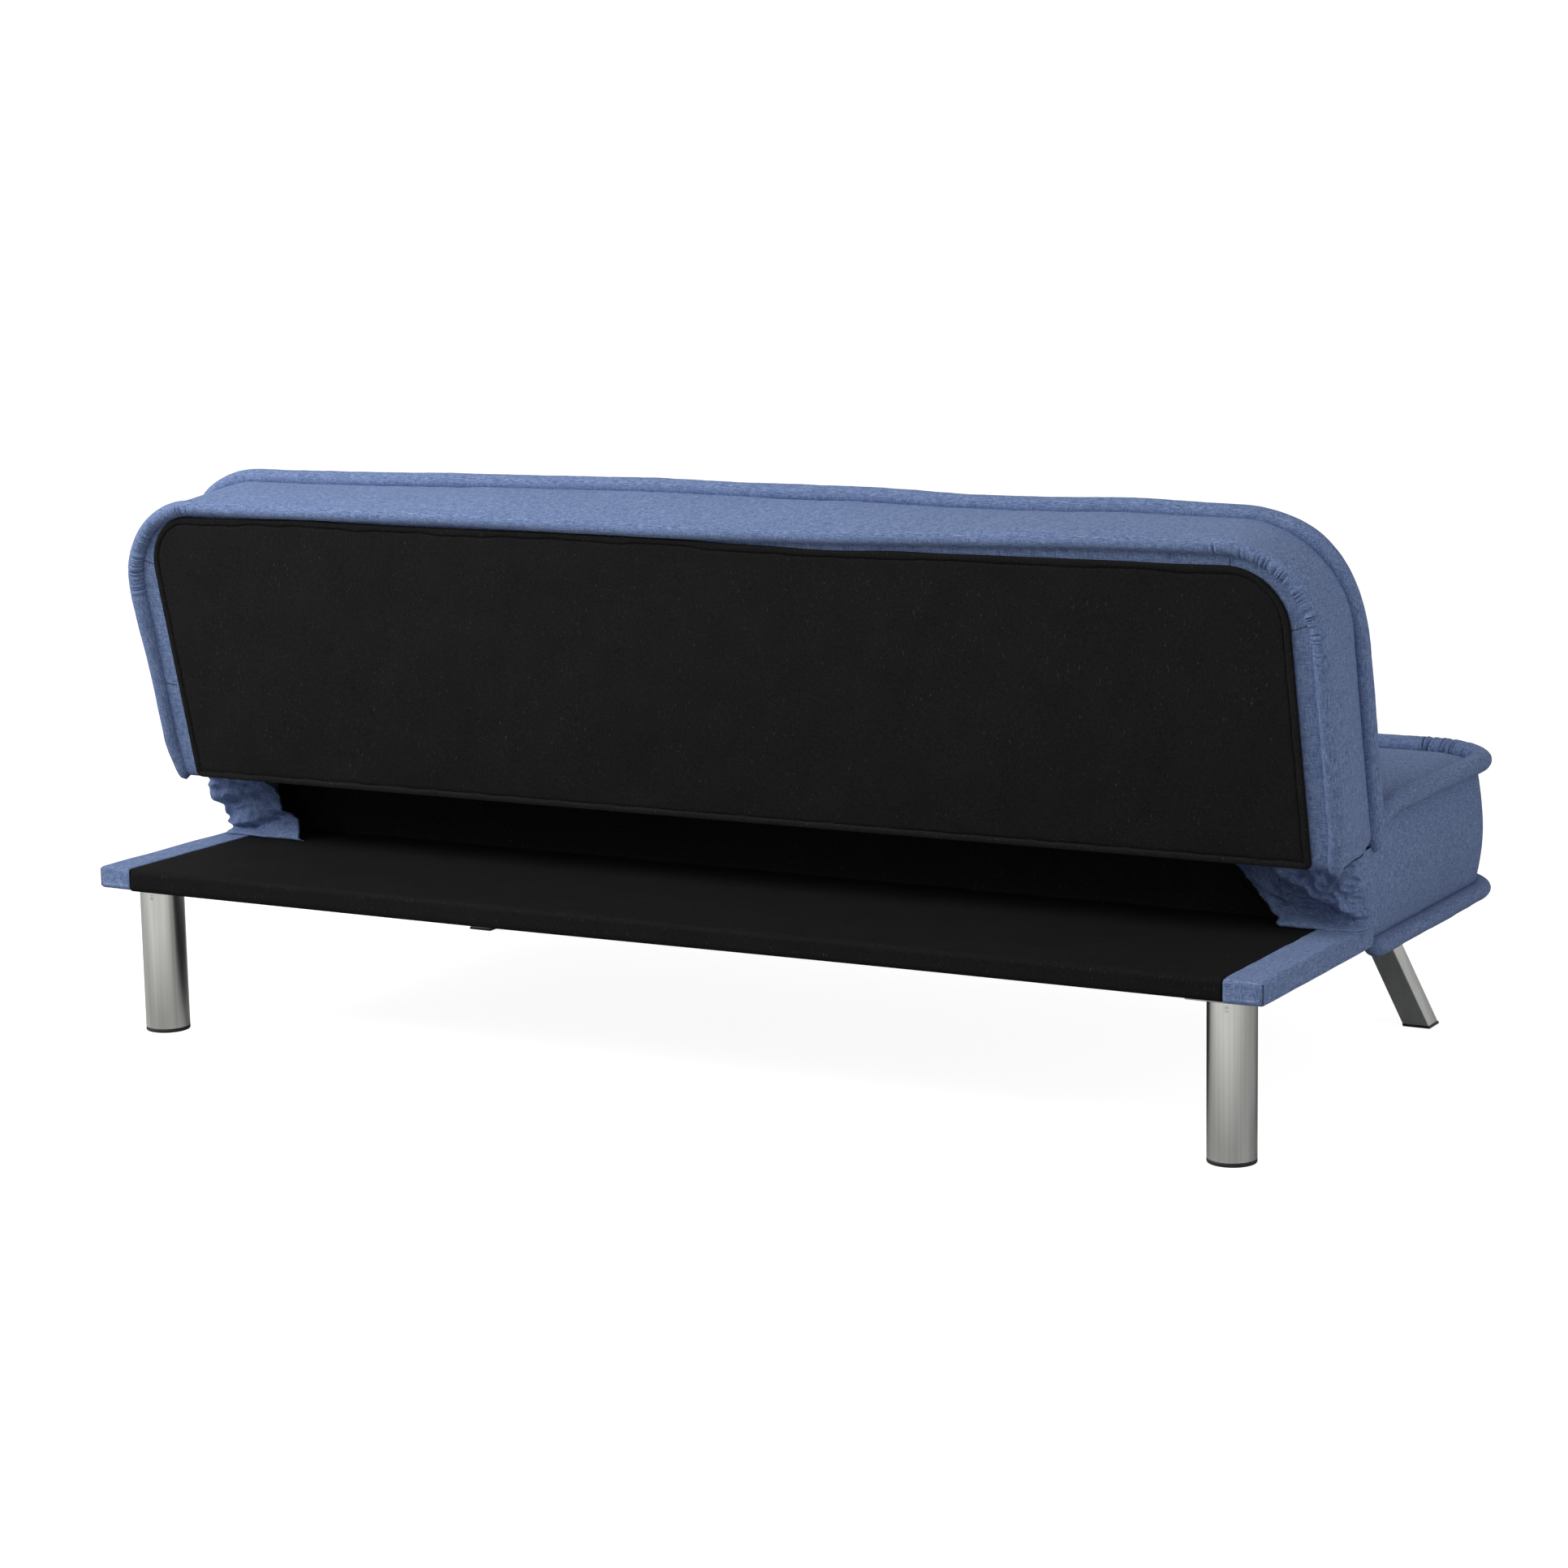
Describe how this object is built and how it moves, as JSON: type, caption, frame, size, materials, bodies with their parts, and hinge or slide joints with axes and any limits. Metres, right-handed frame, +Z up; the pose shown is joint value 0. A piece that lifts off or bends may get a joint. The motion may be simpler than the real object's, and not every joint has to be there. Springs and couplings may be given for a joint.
{
  "type": "futon sofa bed",
  "caption": "Armless click-clack sofa bed: padded seat box, low rear deck, and a padded backrest that folds flat onto the deck to make a bed.",
  "frame": {"origin": "on the floor, under the centre of the object's box with the backrest in its sitting position", "axes": "+Z up, -Y towards the front of the seat, +Y towards the rear deck, +X towards the sitter's left"},
  "size_m": [1.886, 0.9057, 0.8054],
  "materials": {
    "blue_fabric": "woven, heathered blue linen look, matt",
    "black_felt": "black non-woven felt, matt",
    "foam": "cut polyurethane foam",
    "webbing": "woven elastic strap",
    "wood": "sawn softwood and board, unfinished",
    "chrome": "satin chromed steel tube",
    "steel": "zinc-plated pressed steel",
    "black_plastic": "moulded black plastic"
  },
  "bodies": {
    "base": {"deck_board": "wood", "deck_cover": "black_felt", "seat_rail_front": "wood", "seat_rail_rear": "wood", "seat_foam": "foam", "seat_cover": "blue_fabric", "seat_top_welt": "blue_fabric", "seat_bottom_welt": "blue_fabric", "seat_dust_cover": "black_felt", "inner_curtain": "black_felt", "deck_end_wrap_left": "blue_fabric", "rear_leg_left": "chrome", "rear_leg_plate_left": "steel", "rear_foot_cap_left": "black_plastic", "front_leg_left": "chrome", "front_leg_plate_left": "steel", "front_foot_cap_left": "black_plastic", "seat_rail_left": "wood", "seat_corner_block_left": "wood", "hinge_seat_arm_left": "steel", "hinge_pivot_pin_left": "steel", "hinge_pawl_pin_left": "steel", "gusset_left": "blue_fabric", "deck_end_wrap_right": "blue_fabric", "rear_leg_right": "chrome", "rear_leg_plate_right": "steel", "rear_foot_cap_right": "black_plastic", "front_leg_right": "chrome", "front_leg_plate_right": "steel", "front_foot_cap_right": "black_plastic", "seat_rail_right": "wood", "seat_corner_block_right": "wood", "hinge_seat_arm_right": "steel", "hinge_pivot_pin_right": "steel", "hinge_pawl_pin_right": "steel", "gusset_right": "blue_fabric", "seat_spring_1": "steel", "seat_spring_2": "steel", "seat_spring_3": "steel", "seat_spring_4": "steel"},
    "backrest": {"back_rail_top": "wood", "back_rail_bottom": "wood", "back_stile_middle": "wood", "back_foam": "foam", "back_cover": "blue_fabric", "back_front_welt": "blue_fabric", "back_rear_welt": "blue_fabric", "back_panel": "black_felt", "back_stile_left": "wood", "hinge_back_arm_left": "steel", "back_stile_right": "wood", "hinge_back_arm_right": "steel", "back_strap_1": "webbing", "back_strap_2": "webbing", "back_strap_3": "webbing"},
    "pawl_left": {"hinge_pawl_left": "steel"},
    "pawl_right": {"hinge_pawl_right": "steel"}
  },
  "joints": [
    {"name": "back_recline", "type": "hinge", "parent": "base", "child": "backrest", "pos_m": [0, 0.12048, 0.37546], "axis": [-1, 0, 0], "range_deg": [-10, 76.3], "deforming": ["gusset_left", "gusset_right", "inner_curtain"]},
    {"name": "pawl_left_swing", "type": "hinge", "parent": "base", "child": "pawl_left", "pos_m": [0, 0.0965, 0.315], "axis": [-1, 0, 0], "range_deg": [0, 6]},
    {"name": "pawl_right_swing", "type": "hinge", "parent": "base", "child": "pawl_right", "pos_m": [0, 0.0965, 0.315], "axis": [-1, 0, 0], "range_deg": [0, 6]}
  ]
}
